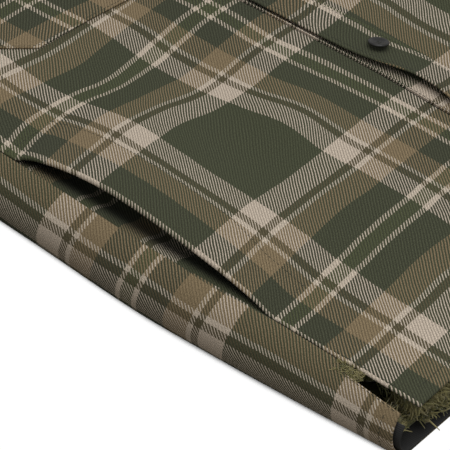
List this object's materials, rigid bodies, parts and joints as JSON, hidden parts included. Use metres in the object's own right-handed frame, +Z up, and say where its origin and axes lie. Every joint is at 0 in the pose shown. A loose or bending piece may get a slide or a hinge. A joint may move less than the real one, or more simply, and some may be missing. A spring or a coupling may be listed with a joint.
{
  "type": "plaid shirt jacket",
  "caption": "Buttoned plaid twill shirt jacket lying on its back, with turned-down collar, patch and seam pockets, side vents, cuffed sleeves and a pile lining that shows at the hem.",
  "frame": {"origin": "middle of the underside's bounding box, on the surface that the garment lies on", "axes": "+X to the wearer's left (from cuff to cuff), +Y from hem to collar, +Z up from the back to the front"},
  "size_m": [1.2802, 0.8046, 0.0632],
  "materials": {
    "plaid_twill": "brushed twill",
    "pile_lining": "curly pile",
    "hem_tape": "woven tape",
    "button": "satin"
  },
  "bodies": {
    "root": {"back": "plaid_twill", "chest_pocket_left": "plaid_twill", "chest_pocket_right": "plaid_twill", "collar_leaf": "plaid_twill", "collar_stand": "plaid_twill", "cuff_left": "plaid_twill", "cuff_right": "plaid_twill", "front_left": "plaid_twill", "front_right": "plaid_twill", "placket_over": "plaid_twill", "placket_under": "plaid_twill", "pocket_facing_left": "plaid_twill", "pocket_facing_right": "plaid_twill", "sleeve_left": "plaid_twill", "sleeve_right": "plaid_twill", "yoke": "plaid_twill", "pile_back": "pile_lining", "pile_front_left": "pile_lining", "pile_front_right": "pile_lining", "hem_facing_back": "hem_tape", "hem_facing_front_left": "hem_tape", "hem_facing_front_right": "hem_tape", "cuff_button_left": "button", "cuff_button_right": "button", "front_button_1": "button", "front_button_2": "button", "front_button_3": "button", "front_button_4": "button", "front_button_5": "button", "front_button_6": "button"}
  },
  "joints": []
}
